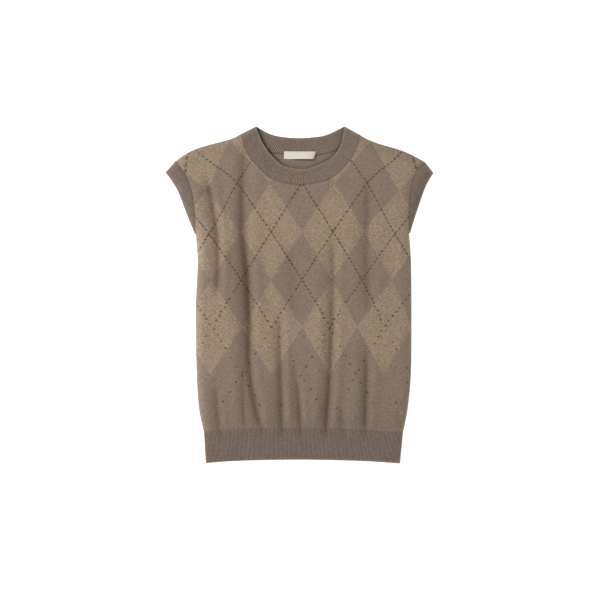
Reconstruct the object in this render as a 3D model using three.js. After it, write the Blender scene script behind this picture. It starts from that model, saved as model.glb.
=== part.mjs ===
// A knitted sweater vest, laid flat and face up, in millimetres.
// X runs across the body, Y from the hem to the neck and Z up from the surface that it lies on.
// The origin is on that surface, under the middle of the outline.
// Left and right are as seen from above, with the neck at the far end.
import * as THREE from "three";

// Thicknesses and gaps
const WALL = 2.4; // knitted cloth
const GAP = 0.3; // between two pieces along a seam, and between two layers
const LABEL_WALL = 0.7;

// Ribs: how far a crest stands over the plain surface, and how far a furrow lies under it
const RIB_CREST = 0.5;
const RIB_FURROW = 0.5;
const HEM_RIBS = 154;
const NECK_FRONT_RIBS = 104;
const NECK_BACK_RIBS = 74;
const ARMHOLE_RIBS = 51;
// Where the corners of one rib stand along its pitch, and whether each is on the crest
const RIB_CORNERS = [
  { at: 0, crest: false },
  { at: 0.5, crest: true },
];

// How the front panel lies over the back one
const LOFT = 6.5; // hollow between the two panels where the cloth lies highest
const EDGE_ROLL = 24; // distance from a folded edge over which the front rises to its full loft
const LEFT_ROLL = 16; // the same distance at the left side, which is fuller
const LEFT_REACH = 100; // distance from the middle at which the left side is at its fullest
const NECK_LOFT = 0.55; // share of the loft that is left at the free edge of the neckband
const NECK_ROLL = 45; // distance over which it comes back
const HEM_LOFT = 0.35; // share of the loft that the tight hem rib leaves
const HEM_TOP = -262; // height at which the cloth begins to blouse over the rib
const BLOUSE = 34; // distance over which it reaches the full loft

// Grids of the two layers: columns under each shoulder and under the neck, rows at side and armhole
const FRONT_GRID = { shoulder: 14, neck: 44, side: 18, armhole: 7 };
const BACK_GRID = { shoulder: 4, neck: 14, side: 8, armhole: 5 };
const BAND_ROWS = 2;
const SIDE_HOLD = 8; // power with which the curve of a side edge dies out across the panel

// Edges and seams, each a smooth curve through its rows
const HEM_EDGE = [
  { x: -178.6, y: -319.8 },
  { x: -113, y: -315.5 },
  { x: 1, y: -313.4 },
  { x: 115, y: -315.8 },
  { x: 191.3, y: -320.6 },
];
const HEM_SEAM = [
  { x: -182.2, y: -259.9 },
  { x: -113, y: -254 },
  { x: 1, y: -252.3 },
  { x: 109.3, y: -255.2 },
  { x: 197.2, y: -259.9 },
];
const SIDE_LEFT = [
  { x: -182.2, y: -259.9 },
  { x: -191.5, y: -215 },
  { x: -195.9, y: -146.5 },
  { x: -197.8, y: -32.5 },
  { x: -194, y: 62.5 },
  { x: -198, y: 115.5 },
];
const SIDE_RIGHT = [
  { x: 197.2, y: -259.9 },
  { x: 205.9, y: -215 },
  { x: 212, y: -146.5 },
  { x: 213, y: -43.9 },
  { x: 212.2, y: 58.7 },
  { x: 208.3, y: 116.7 },
];
const ARMHOLE_LEFT = [
  { x: -198, y: 115.5 },
  { x: -198.5, y: 147 },
  { x: -201.2, y: 174.6 },
  { x: -205.6, y: 198.2 },
  { x: -214.5, y: 224 },
  { x: -225.5, y: 240 },
  { x: -237, y: 253.6 },
];
const ARMHOLE_RIGHT = [
  { x: 208.3, y: 116.7 },
  { x: 207.9, y: 151.8 },
  { x: 209.8, y: 183.4 },
  { x: 213.8, y: 210.7 },
  { x: 220.4, y: 232 },
  { x: 228, y: 243 },
  { x: 239.4, y: 251.8 },
];
const ARMHOLE_EDGE_LEFT = [
  { x: -200.4, y: 117.6 },
  { x: -204.4, y: 128.2 },
  { x: -209.8, y: 141.2 },
  { x: -218.9, y: 164.5 },
  { x: -225.4, y: 182 },
  { x: -232, y: 198 },
  { x: -242.6, y: 215.6 },
  { x: -255.4, y: 233.4 },
];
const ARMHOLE_EDGE_RIGHT = [
  { x: 210.6, y: 118.4 },
  { x: 214.6, y: 132 },
  { x: 219.9, y: 149.2 },
  { x: 225.9, y: 166.8 },
  { x: 233, y: 188 },
  { x: 240.3, y: 206.7 },
  { x: 246.6, y: 218.9 },
  { x: 254.8, y: 232 },
];
const SHOULDER_LEFT = [
  { x: -237, y: 253.6 },
  { x: -219.6, y: 266.2 },
  { x: -196.8, y: 277.9 },
  { x: -162.7, y: 288.2 },
  { x: -139.9, y: 293.8 },
  { x: -124.6, y: 299.3 },
  { x: -110.4, y: 306.8 },
];
const SHOULDER_RIGHT = [
  { x: 114, y: 305 },
  { x: 128.6, y: 296.6 },
  { x: 153.4, y: 287 },
  { x: 179.9, y: 279.5 },
  { x: 202.8, y: 271.5 },
  { x: 225.8, y: 260 },
  { x: 239.4, y: 251.8 },
];
const NECK_FRONT_SEAM = [
  { x: -110.4, y: 306.8 },
  { x: -103.2, y: 279.1 },
  { x: -93.1, y: 260.3 },
  { x: -76, y: 240 },
  { x: -57.4, y: 223.1 },
  { x: -27.6, y: 212.6 },
  { x: 3.6, y: 209.4 },
  { x: 37.6, y: 213.8 },
  { x: 64.8, y: 224.8 },
  { x: 85.1, y: 243.4 },
  { x: 100.3, y: 262 },
  { x: 110.6, y: 285.8 },
  { x: 114, y: 305 },
];
const NECK_FRONT_EDGE = [
  { x: -82.8, y: 321 },
  { x: -77.1, y: 305.1 },
  { x: -70.3, y: 290.3 },
  { x: -60, y: 274 },
  { x: -46.6, y: 259 },
  { x: -28.9, y: 245.5 },
  { x: 6.5, y: 238.5 },
  { x: 41.6, y: 249.5 },
  { x: 59.3, y: 260.3 },
  { x: 71.4, y: 272.7 },
  { x: 79.6, y: 290.3 },
  { x: 85.6, y: 321 },
];
const NECK_BACK_EDGE = [
  { x: -82.8, y: 321 },
  { x: -55.8, y: 306.4 },
  { x: -29.4, y: 300.6 },
  { x: 1, y: 298.8 },
  { x: 31.4, y: 300.9 },
  { x: 54, y: 305.7 },
  { x: 85.6, y: 321 },
];
const NECK_BACK_SEAM = [
  { x: -110.4, y: 306.8 },
  { x: -84.6, y: 283 },
  { x: -54.7, y: 270.8 },
  { x: 1, y: 267 },
  { x: 39, y: 267.3 },
  { x: 71.3, y: 276.1 },
  { x: 92.2, y: 287.7 },
  { x: 114, y: 305 },
];

// The label hangs from the back neck seam, inside, and its right end lifts a little
const LABEL_TOP = [
  { x: -29.5, y: 273 },
  { x: 31.7, y: 272.6 },
];
const LABEL_BOTTOM = [
  { x: -29.5, y: 258.5 },
  { x: 27.6, y: 258.2 },
];
const LABEL_LIFT = 1.2;
const LABEL_COLUMNS = 8;

// Soft troughs of the front. Each runs down the cloth from y top to y bottom, and its middle
// and depth pass through the three values given at its top, half way and at its bottom.
// left and right are the distances from the middle at which it has lost most of its depth.
const TROUGHS = [
  { top: 275, bottom: 100, x: [-104, -109.5, -106], depth: [1.8, 4, 5.2], left: 10, right: 13 },
  { top: 100, bottom: -90, x: [-106, -97.5, -96], depth: [5.2, 6.4, 5.6], left: 18, right: 10 },
  { top: -90, bottom: -256, x: [-96, -90.5, -71.5], depth: [5.6, 4.6, 3.6], left: 14, right: 8 },
  { top: 215, bottom: 0, x: [-175, -156.5, -157], depth: [4.2, 4.6, 2.8], left: 12, right: 7 },
  { top: 95, bottom: -262, x: [63, 61.5, 49.5], depth: [2.2, 4.2, 4.9], left: 12, right: 8 },
  { top: 210, bottom: -30, x: [130, 128, 130], depth: [2.4, 2.6, 2.2], left: 13, right: 11 },
  { top: 95, bottom: -45, x: [-20, -14, -10], depth: [1.2, 1.6, 1.2], left: 16, right: 22 },
  { top: -165, bottom: -262, x: [-159, -156, -152], depth: [0.8, 2.8, 3.2], left: 13, right: 7 },
  { top: -150, bottom: -258, x: [-109, -106, -103], depth: [0.8, 2.2, 2], left: 9, right: 7 },
  { top: -45, bottom: -264, x: [-38, -35.5, -33], depth: [1.8, 4, 3.8], left: 12, right: 7 },
  { top: -130, bottom: -262, x: [-11, -1, 1.5], depth: [1.2, 3, 3.8], left: 10, right: 6 },
  { top: -205, bottom: -262, x: [79, 81, 82], depth: [1, 2.2, 2.4], left: 10, right: 8 },
  { top: -95, bottom: -264, x: [128, 127, 124.5], depth: [2, 4, 3.6], left: 11, right: 8 },
  { top: -230, bottom: -266, x: [187, 190, 192], depth: [1.2, 1.8, 1.6], left: 9, right: 8 },
];
const TROUGH_FADE = 44; // distance about each end over which a trough dies out
const BANK_REACH = 2.1; // how many widths off its middle a trough's raised bank stands
const BANK_SHARE = 0.28; // height of a bank as a share of the trough's depth

const COLOUR = { body: 0x86776a, rib: 0x75675c, label: 0xcdc8bb };

const BACK_TOP = WALL;
const FRONT_LOW = BACK_TOP + GAP;

// Points at equal steps along the smooth curve through a table's rows
function stations(table, steps) {
  const rows = table.map(({ x, y }) => new THREE.Vector2(x, y));
  return new THREE.SplineCurve(rows).getSpacedPoints(steps);
}

// From 0 to 1 as a value goes from 0 to 1, level at both ends
function ease(value) {
  return THREE.MathUtils.smoothstep(value, 0, 1);
}

// The parabola through three values given at 0, 0.5 and 1
function through([first, middle, last], at) {
  const start = first * (1 - at) * (1 - 2 * at);
  const half = middle * 4 * at * (1 - at);
  const end = last * at * (2 * at - 1);
  return start + half + end;
}

// The seams and edges of one layer, from the table of its neck seam and that of its neck's edge
function layer(grid, neckSeamTable, neckEdgeTable) {
  const neckSeam = stations(neckSeamTable, grid.neck);
  const neckEdge = stations(neckEdgeTable, grid.neck);
  const columns = 2 * grid.shoulder + grid.neck;
  const half = (side, armhole, armholeEdge, shoulder, neckEnd) => ({
    side: stations(side, grid.side),
    armhole: stations(armhole, grid.armhole),
    armholeEdge: stations(armholeEdge, grid.armhole),
    shoulder: stations(shoulder, grid.shoulder),
    neckFold: [neckSeam.at(neckEnd), neckEdge.at(neckEnd)],
  });
  return {
    hemSeam: stations(HEM_SEAM, columns),
    hemEdge: stations(HEM_EDGE, columns),
    neckSeam,
    neckEdge,
    left: half(SIDE_LEFT, ARMHOLE_LEFT, ARMHOLE_EDGE_LEFT, SHOULDER_LEFT, 0),
    right: half(SIDE_RIGHT, ARMHOLE_RIGHT, ARMHOLE_EDGE_RIGHT, SHOULDER_RIGHT, -1),
  };
}

const front = layer(FRONT_GRID, NECK_FRONT_SEAM, NECK_FRONT_EDGE);
const back = layer(BACK_GRID, NECK_BACK_SEAM, NECK_BACK_EDGE);

// The whole outline, apart from the free edge of the neck
const outline = [front.hemEdge];
for (const { side, armhole, armholeEdge, shoulder, neckFold } of [front.left, front.right]) {
  outline.push(side, armholeEdge, shoulder, neckFold);
  outline.push([armhole.at(-1), armholeEdge.at(-1)]);
}
outline.push([front.hemEdge[0], front.hemSeam[0]], [front.hemEdge.at(-1), front.hemSeam.at(-1)]);

// Least distance in plan from a point to a set of lines
function distanceTo(lines, point) {
  const nearest = new THREE.Vector3();
  const segment = new THREE.Line3();
  let least = Infinity;
  for (const line of lines) {
    for (let n = 1; n < line.length; n += 1) {
      segment.start.set(line[n - 1].x, line[n - 1].y, 0);
      segment.end.set(line[n].x, line[n].y, 0);
      segment.closestPointToPoint(point, true, nearest);
      least = Math.min(least, nearest.distanceTo(point));
    }
  }
  return least;
}

// Depth of all the troughs at a point: a bell across each one, with a low bank on either side
function troughDepth({ x, y }) {
  let depth = 0;
  for (const trough of TROUGHS) {
    const run = (trough.top - y) / (trough.top - trough.bottom);
    const at = THREE.MathUtils.clamp(run, 0, 1);
    const inside = Math.min(trough.top - y, y - trough.bottom);
    const fade = ease(0.5 + inside / TROUGH_FADE);
    const aside = x - through(trough.x, at);
    const off = aside < 0 ? -aside / trough.left : aside / trough.right;
    const bell = Math.exp(-(off ** 2));
    const bank = BANK_SHARE * Math.exp(-((off - BANK_REACH) ** 2));
    depth += fade * through(trough.depth, at) * (bell - bank);
  }
  return depth;
}

// Height of the front's plain outer surface: it rolls up from the folded edges to its loft, is
// held down by the hem rib and at the neck, and dips along the troughs
function frontTop({ x, y }) {
  const point = new THREE.Vector3(x, y, 0);
  const reach = THREE.MathUtils.lerp(EDGE_ROLL, LEFT_ROLL, ease(-x / LEFT_REACH));
  const roll = 1 - (1 - Math.min(distanceTo(outline, point) / reach, 1)) ** 2;
  const neck = NECK_LOFT + (1 - NECK_LOFT) * ease(distanceTo([front.neckEdge], point) / NECK_ROLL);
  const hem = HEM_LOFT + (1 - HEM_LOFT) * ease((y - HEM_TOP) / BLOUSE);
  const lift = roll * hem * (LOFT * neck - troughDepth({ x, y }));
  return FRONT_LOW + WALL + Math.max(lift, 0);
}

// A patch between four edges: straight columns from the bottom to the top edge, bent near each
// side by what its edge departs from the straight line between its ends
function panel(bottom, top, left, right) {
  const across = bottom.length - 1;
  const up = left.length - 1;
  const bow = (edge, axis, j) => {
    const straight = THREE.MathUtils.lerp(edge[0][axis], edge[up][axis], j / up);
    return edge[j][axis] - straight;
  };
  const blend = (axis, i, j) => {
    const u = i / across;
    const column = THREE.MathUtils.lerp(bottom[i][axis], top[i][axis], j / up);
    return column + (1 - u) ** SIDE_HOLD * bow(left, axis, j) + u ** SIDE_HOLD * bow(right, axis, j);
  };
  return left.map((_, j) => bottom.map((__, i) => ({ x: blend("x", i, j), y: blend("y", i, j) })));
}

// A strip from the seam that it is sewn to out to its free edge, in a number of equal ribs
function strip(seam, edge, ribs, corners) {
  const seamPath = new THREE.Path(seam);
  const edgePath = new THREE.Path(edge);
  const stops = [];
  for (let rib = 0; rib < ribs; rib += 1) {
    corners.forEach(({ at, crest }) => stops.push({ share: (rib + at) / ribs, crest }));
  }
  stops.push({ share: 1, crest: false });
  return Array.from({ length: BAND_ROWS + 1 }, (_, j) =>
    stops.map(({ share, crest }) => {
      const start = seamPath.getPointAt(share);
      const end = edgePath.getPointAt(share);
      const gap = GAP / start.distanceTo(end);
      const { x, y } = start.lerp(end, gap + ((1 - gap) * j) / BAND_ROWS);
      return { x, y, crest };
    }),
  );
}

// A closed wall between an upper and a lower surface on one grid. The lower one is plain: it
// keeps only the first of each block of columns, so that ribs are raised on the upper one alone.
function wall(grid, upperHeight, lowerHeight, block = 1) {
  const rows = grid.length;
  const wide = grid[0].length;
  const narrow = (wide - 1) / block + 1;
  const positions = [];
  for (const row of grid) {
    row.forEach((point) => positions.push(point.x, point.y, upperHeight(point)));
  }
  for (const row of grid) {
    const kept = row.filter((_, i) => i % block === 0);
    kept.forEach((point) => positions.push(point.x, point.y, lowerHeight(point)));
  }
  const upper = (i, j) => j * wide + i;
  const lower = (i, j) => rows * wide + j * narrow + i;
  const faces = [];
  const quad = (a, b, c, d) => faces.push([a, b, c], [a, c, d]);
  for (let j = 0; j < rows - 1; j += 1) {
    for (let i = 0; i < wide - 1; i += 1) {
      quad(upper(i, j), upper(i + 1, j), upper(i + 1, j + 1), upper(i, j + 1));
    }
    for (let i = 0; i < narrow - 1; i += 1) {
      quad(lower(i, j + 1), lower(i + 1, j + 1), lower(i + 1, j), lower(i, j));
    }
    quad(upper(0, j + 1), lower(0, j + 1), lower(0, j), upper(0, j));
    quad(upper(wide - 1, j), lower(narrow - 1, j), lower(narrow - 1, j + 1), upper(wide - 1, j + 1));
  }
  const last = rows - 1;
  for (let i = 0; i < narrow - 1; i += 1) {
    for (let k = i * block; k < (i + 1) * block; k += 1) {
      faces.push([lower(i, 0), upper(k + 1, 0), upper(k, 0)]);
      faces.push([lower(i, last), upper(k, last), upper(k + 1, last)]);
    }
    faces.push([lower(i, 0), lower(i + 1, 0), upper((i + 1) * block, 0)]);
    faces.push([lower(i, last), upper((i + 1) * block, last), lower(i + 1, last)]);
  }
  // A grid that runs the other way round has its faces turned, so that they point out
  const [[first, second], [above]] = grid;
  const area = (second.x - first.x) * (above.y - first.y) - (second.y - first.y) * (above.x - first.x);
  const facingOut = area > 0 ? faces : faces.map(([a, b, c]) => [a, c, b]);
  const geometry = new THREE.BufferGeometry();
  geometry.setAttribute("position", new THREE.Float32BufferAttribute(positions, 3));
  geometry.setIndex(facingOut.flat());
  geometry.computeVertexNormals();
  return geometry;
}

// A named piece with its own finish
function piece(name, geometry, color, roughness) {
  const material = new THREE.MeshStandardMaterial({ color, roughness, metalness: 0 });
  const mesh = new THREE.Mesh(geometry, material);
  mesh.name = name;
  return mesh;
}

const frontLow = (point) => frontTop(point) - WALL;
const frontRib = (point) => frontTop(point) + (point.crest ? RIB_CREST : -RIB_FURROW);
const backTop = () => BACK_TOP;
const backRib = ({ crest }) => BACK_TOP - (crest ? 0 : RIB_FURROW + GAP);
const ground = () => 0;
const PLAIN = [{ at: 0, crest: false }];
const PLAIN_STEPS = 20;

// Front or back panel: shoulders and neck seam along its top, side seams and armholes beside it
function bodyPanel(name, { hemSeam, neckSeam, left, right }, upperHeight, lowerHeight) {
  const top = [...left.shoulder, ...neckSeam.slice(1), ...right.shoulder.slice(1)];
  const leftEdge = [...left.side, ...left.armhole.slice(1)];
  const rightEdge = [...right.side, ...right.armhole.slice(1)];
  const grid = panel(hemSeam, top, leftEdge, rightEdge);
  return piece(name, wall(grid, upperHeight, lowerHeight), COLOUR.body, 0.95);
}

// A ribbed half of a band, on the front layer or on the inner face of the back layer
function ribbedBand(name, seam, edge, ribs, upperHeight, lowerHeight) {
  const grid = strip(seam, edge, ribs, RIB_CORNERS);
  return piece(name, wall(grid, upperHeight, lowerHeight, RIB_CORNERS.length), COLOUR.rib, 0.95);
}

// The half of a band that rests on the surface, plain where the front half covers it
function restingBand(name, seam, edge) {
  const grid = strip(seam, edge, PLAIN_STEPS, PLAIN);
  return piece(name, wall(grid, backTop, ground), COLOUR.rib, 0.95);
}

function label() {
  const top = stations(LABEL_TOP, LABEL_COLUMNS);
  const bottom = stations(LABEL_BOTTOM, LABEL_COLUMNS);
  const hung = (row, hang) => row.map(({ x, y }, across) => ({ x, y, hang, across }));
  const grid = [hung(bottom, 1), hung(top, 0)];
  const low = ({ hang, across }) => FRONT_LOW + LABEL_LIFT * hang * (across / LABEL_COLUMNS) ** 2;
  return piece("label", wall(grid, (point) => low(point) + LABEL_WALL, low), COLOUR.label, 0.7);
}

const vest = new THREE.Group();
vest.add(bodyPanel("body_back", back, backTop, ground));
vest.add(bodyPanel("body_front", front, frontTop, frontLow));
vest.add(restingBand("hem_rib_back", back.hemSeam, back.hemEdge));
vest.add(ribbedBand("hem_rib_front", front.hemSeam, front.hemEdge, HEM_RIBS, frontRib, frontLow));
vest.add(ribbedBand("neckband_back", back.neckSeam, back.neckEdge, NECK_BACK_RIBS, backRib, ground));
vest.add(ribbedBand("neckband_front", front.neckSeam, front.neckEdge, NECK_FRONT_RIBS, frontRib, frontLow));
for (const side of ["left", "right"]) {
  const below = back[side];
  const above = front[side];
  const name = `armhole_band_${side}`;
  vest.add(restingBand(`${name}_back`, below.armhole, below.armholeEdge));
  vest.add(ribbedBand(`${name}_front`, above.armhole, above.armholeEdge, ARMHOLE_RIBS, frontRib, frontLow));
}
vest.add(label());

export default vest;
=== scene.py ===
# A knitted sweater vest, laid flat and face up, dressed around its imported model. Lengths are in
# metres, X runs across the body, Y from the hem to the neck and Z up from the surface.
# Left and right are as seen from above, with the neck at the far end.
import math
from collections import namedtuple
from functools import partial

import bpy
import numpy as np
from bpy.props import FloatProperty, FloatVectorProperty, PointerProperty
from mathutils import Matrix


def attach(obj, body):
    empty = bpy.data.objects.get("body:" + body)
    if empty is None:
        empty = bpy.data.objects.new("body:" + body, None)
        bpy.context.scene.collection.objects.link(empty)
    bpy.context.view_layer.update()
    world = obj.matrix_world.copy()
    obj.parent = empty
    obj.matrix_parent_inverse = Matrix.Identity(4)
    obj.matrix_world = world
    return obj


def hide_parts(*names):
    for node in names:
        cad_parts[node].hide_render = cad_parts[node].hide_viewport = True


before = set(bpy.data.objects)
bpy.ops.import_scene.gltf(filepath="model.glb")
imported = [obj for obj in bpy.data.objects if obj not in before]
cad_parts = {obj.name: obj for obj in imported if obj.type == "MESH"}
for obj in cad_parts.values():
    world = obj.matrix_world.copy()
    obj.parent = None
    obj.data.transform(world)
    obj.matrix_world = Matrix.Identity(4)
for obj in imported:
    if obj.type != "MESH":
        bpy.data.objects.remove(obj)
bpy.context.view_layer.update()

bl_info = {
    "name": "Knitted Sweater Vest",
    "version": (1, 0, 0),
    "blender": (4, 5, 0),
    "location": "View3D > Sidebar > Vest",
    "description": "A sweater vest of fine wool with a diamond pattern, laid flat",
    "category": "Object",
}

MM = 0.001

# Edges and seams in millimetres, each a smooth curve through its rows of x and y
HEM_EDGE = [(-178.6, -319.8), (-113, -315.5), (1, -313.4), (115, -315.8), (191.3, -320.6)]
HEM_SEAM = [(-182.2, -259.9), (-113, -254), (1, -252.3), (109.3, -255.2), (197.2, -259.9)]
SIDE_LEFT = [
    (-182.2, -259.9), (-191.5, -215), (-195.9, -146.5), (-197.8, -32.5), (-194, 62.5),
    (-198, 115.5),
]
SIDE_RIGHT = [
    (197.2, -259.9), (205.9, -215), (212, -146.5), (213, -43.9), (212.2, 58.7), (208.3, 116.7),
]
ARMHOLE_LEFT = [
    (-198, 115.5), (-198.5, 147), (-201.2, 174.6), (-205.6, 198.2), (-214.5, 224), (-225.5, 240),
    (-237, 253.6),
]
ARMHOLE_RIGHT = [
    (208.3, 116.7), (207.9, 151.8), (209.8, 183.4), (213.8, 210.7), (220.4, 232), (228, 243),
    (239.4, 251.8),
]
ARMHOLE_EDGE_LEFT = [
    (-200.4, 117.6), (-204.4, 128.2), (-209.8, 141.2), (-218.9, 164.5), (-225.4, 182), (-232, 198),
    (-242.6, 215.6), (-255.4, 233.4),
]
ARMHOLE_EDGE_RIGHT = [
    (210.6, 118.4), (214.6, 132), (219.9, 149.2), (225.9, 166.8), (233, 188), (240.3, 206.7),
    (246.6, 218.9), (254.8, 232),
]
SHOULDER_LEFT = [
    (-237, 253.6), (-219.6, 266.2), (-196.8, 277.9), (-162.7, 288.2), (-139.9, 293.8),
    (-124.6, 299.3), (-110.4, 306.8),
]
SHOULDER_RIGHT = [
    (114, 305), (128.6, 296.6), (153.4, 287), (179.9, 279.5), (202.8, 271.5), (225.8, 260),
    (239.4, 251.8),
]
NECK_FRONT_SEAM = [
    (-110.4, 306.8), (-103.2, 279.1), (-93.1, 260.3), (-76, 240), (-57.4, 223.1), (-27.6, 212.6),
    (3.6, 209.4), (37.6, 213.8), (64.8, 224.8), (85.1, 243.4), (100.3, 262), (110.6, 285.8),
    (114, 305),
]
NECK_FRONT_EDGE = [
    (-82.8, 321), (-77.1, 305.1), (-70.3, 290.3), (-60, 274), (-46.6, 259), (-28.9, 245.5),
    (6.5, 238.5), (41.6, 249.5), (59.3, 260.3), (71.4, 272.7), (79.6, 290.3), (85.6, 321),
]
NECK_BACK_EDGE = [
    (-82.8, 321), (-55.8, 306.4), (-29.4, 300.6), (1, 298.8), (31.4, 300.9), (54, 305.7),
    (85.6, 321),
]
NECK_BACK_SEAM = [
    (-110.4, 306.8), (-84.6, 283), (-54.7, 270.8), (1, 267), (39, 267.3), (71.3, 276.1),
    (92.2, 287.7), (114, 305),
]
LABEL_TOP = [(-29.5, 273), (31.7, 272.6)]
LABEL_BOTTOM = [(-29.5, 258.5), (27.6, 258.2)]

# Shares of a panel's top edge at which the neck begins and ends, and of its side edge at which
# the armhole begins
NECK_STARTS = 14 / 72
NECK_ENDS = 58 / 72
ARMHOLE_STARTS = 18 / 25
SIDE_HOLD = 8  # power with which the curve of a side edge dies out across the panel

# Soft troughs of the front in millimetres. Each runs down the cloth from y top to y bottom, and
# its middle and depth pass through three values, given at its top, half way and at its bottom.
# left and right are the distances from the middle at which it has lost most of its depth.
Trough = namedtuple("Trough", "top bottom x depth left right")
TROUGHS = [
    Trough(275, 100, (-104, -109.5, -106), (1.8, 4, 5.2), 10, 13),
    Trough(100, -90, (-106, -97.5, -96), (5.2, 6.4, 5.6), 18, 10),
    Trough(-90, -256, (-96, -90.5, -71.5), (5.6, 4.6, 3.6), 14, 8),
    Trough(215, 0, (-175, -156.5, -157), (4.2, 4.6, 2.8), 12, 7),
    Trough(95, -262, (63, 61.5, 49.5), (2.2, 4.2, 4.9), 12, 8),
    Trough(210, -30, (130, 128, 130), (2.4, 2.6, 2.2), 13, 11),
    Trough(95, -45, (-20, -14, -10), (1.2, 1.6, 1.2), 16, 22),
    Trough(-165, -262, (-159, -156, -152), (0.8, 2.8, 3.2), 13, 7),
    Trough(-150, -258, (-109, -106, -103), (0.8, 2.2, 2), 9, 7),
    Trough(-45, -264, (-38, -35.5, -33), (1.8, 4, 3.8), 12, 7),
    Trough(-130, -262, (-11, -1, 1.5), (1.2, 3, 3.8), 10, 6),
    Trough(-205, -262, (79, 81, 82), (1, 2.2, 2.4), 10, 8),
    Trough(-95, -264, (128, 127, 124.5), (2, 4, 3.6), 11, 8),
    Trough(-230, -266, (187, 190, 192), (1.2, 1.8, 1.6), 9, 8),
]
TROUGH_FADE = 44
# A low bank beside each trough: how far off in its widths, and a share of its depth
BANK_REACH = 2.1
BANK_SHARE = 0.28
# A trough's bottom is creased: a share of its depth is in a narrower bell
CREASE_SHARE = 0.3
CREASE_WIDTH = 0.42
# Painted shade at a trough's bottom: share of light lost for each millimetre of its depth
TROUGH_SHADE = 0.085
SHADE_CREASE = 0.5  # the crease's share there, in place of the one above
MOST_SHADE = 0.55
# Tint of all the painted shade in the cloth, browner than grey
PAINTED_SHADE_TINT = (1.05, 1.17, 1.23)  # how much more green and blue than red is lost there
# Share of light lost in a seam, and how far from it
SEAM_SHADE = 0.22
SEAM_REACH = 1.6 * MM
# Painted highlight where the fuzz catches light at folds and free edges, and how far in from them
RIM_LIGHT = 0.24
RIM_REACH = 3.4 * MM
NECK_RIM_LIGHT = 0.26
# Painted light at the sides, from the pale surface round them, and painted shade on the leaning shoulders
SIDE_LIGHT = 0.1
SHOULDER_SHADE = 0.12
SIDE_REACH = 20 * MM
# Painted shade inside the neck, as shares of light lost: in its seam, far and near under the front
# band's edge, all over, and the label's painted shadow beside it
NECK_SEAM_SHADE = 0.36
NECK_SHADE = 0.2
NECK_SHADE_REACH = 7 * MM
NECK_LINE_SHADE = 0.34
NECK_LINE_REACH = 1.9 * MM
NECK_SIDES = 60 * MM  # distance from the middle at which the sides' near shade is full
INSIDE_SHADE = 0.08
LABEL_SHADE = 0.45
LABEL_SHADOW_LINE = [(-8, 257.6), (8, 256.6), (28, 256.2), (31, 262), (32.6, 268)]
# Painted shade low on the body, where the rib draws it in: from what height, over what, how much
LOW_SHADE_TOP = -130
LOW_SHADE_SPAN = 110
LOW_SHADE = 0.045

# How the front lies over the back, in millimetres and shares, as in the part's source
EDGE_ROLL = 24
LEFT_ROLL = 16  # the same distance at the left side, which the light shows to be fuller
LEFT_SPAN = 100  # over how much of the width the one turns into the other
NECK_LOFT = 0.55
NECK_ROLL = 45
HEM_LOFT = 0.35
HEM_TOP = -262
BLOUSE = 34
SEAM_DIP = 1.1  # how far the armhole seams lie under the cloth beside them, and how near to them
SEAM_DIP_REACH = 6

# Low uneven waves of the cloth: height in millimetres, waves to the metre across and up, and phase
RIPPLES = [
    (0.22, 9.1, 3.7, 0.4),
    (0.17, -13.3, 7.9, 2.1),
    (0.12, 21.7, 5.3, 4.4),
    (0.1, -26.9, -12.7, 1.3),
    (0.07, 34.1, 18.1, 5.2),
    (0.06, 41.3, -23.9, 3.1),
]
# Small gathers where the tight rib draws the body in, with how far they reach up from the hem
# seam and down into the rib
GATHERS = [
    (0.13, 187, 23, 0.7),
    (0.12, 143, -31, 2.9),
    (0.1, 103, 17, 5.0),
]
GATHER_UP = 11
GATHER_DOWN = 4
# The ribs waver a little along their bands: the same, but as shares of a rib's pitch
WAVER = [
    (0.12, 13.1, 3.7, 0.3),
    (0.09, 27.3, -9.7, 1.9),
    (0.07, 46.9, 17.3, 4.0),
]

# The diamond pattern's own rows, up the front: y in millimetres, and the width of one step of the
# pattern to the left and to the right of its middle line
DIAMOND_MIDDLE = 4.75
DIAMOND_ROWS = {
    "y": (-239.6, -151.2, -61, 28.3, 119.5, 212.6, 291.5),
    "row": (-4, -3, -2, -1, 0, 1, 2),
    "left": (58, 58.1, 56.6, 57.8, 58.9, 61.4, 69),
    "right": (51.7, 51.7, 52.1, 57, 58.9, 61.9, 64.8),
}
ROW_ABOVE = 92  # height of a row above the table's last, in millimetres
ROW_BELOW = 88  # and below its first
# Outside the second step the shoulders let the pattern hang lower: y, and how far, in millimetres,
# and the steps over which that begins
DIAMOND_DROP = {"y": (28, 119.5, 212.6, 291.5), "drop": (0, 4, 15, 17), "from": 2, "over": 0.9}
# Outside the third step, at the shoulders' tips, its lines stand steeper: a further drop
DIAMOND_TIP = {"y": (212.6, 234, 263, 291.5), "drop": (0, 4, -11, -14), "from": 2.9, "over": 0.3}
# Dashes of the pattern's thin lines: row, and how many of them to a row of the pattern
DASHES = {
    "row": (-3.8, -2.5, -2.1, -1.2, -0.7, -0.2, 3),
    "count": (4.6, 5.2, 9, 13, 13.5, 11.8, 11.8),
}
DASH_ROWS = (-5, 4, 901)  # rows from and to which they are counted, and how finely
# Mean width of a step of the pattern and mean height of its rows
STEP_WIDTH = 57 * MM
STEP_HEIGHT = 90 * MM
# Half the width of a thin line, as a share of the pattern's step along its slant
LINE_HALF = 0.0118
LINE_START = 0.37  # by how much of a dash each line's dashes begin later than the last line's
# Share of its stretch that a dash takes, what a dot and a small dot take less, how much they all
# vary, and how much wider than the line a dot is
DASH_SHARE = 0.66
DOT_LESS = 0.2
SMALL_DOT_LESS = 0.23
DASH_SPREAD = 0.16
DOT_WIDER = 0.5
DOT_STRAY = 0.035  # how far a dot strays from its line, as a share of the pattern's step
DOTS_MISSING = 0.18
DOT_THINNER = 0.08  # share of the wool under it that a dot lets through
# Rows of the pattern at which these lie, going down
DOTS_BEGIN = -1.1
DASHES_END = -1.9
DOTS_SMALL = -2.4
LIGHT_END = -3
DOTS_END = -3.75

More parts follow.
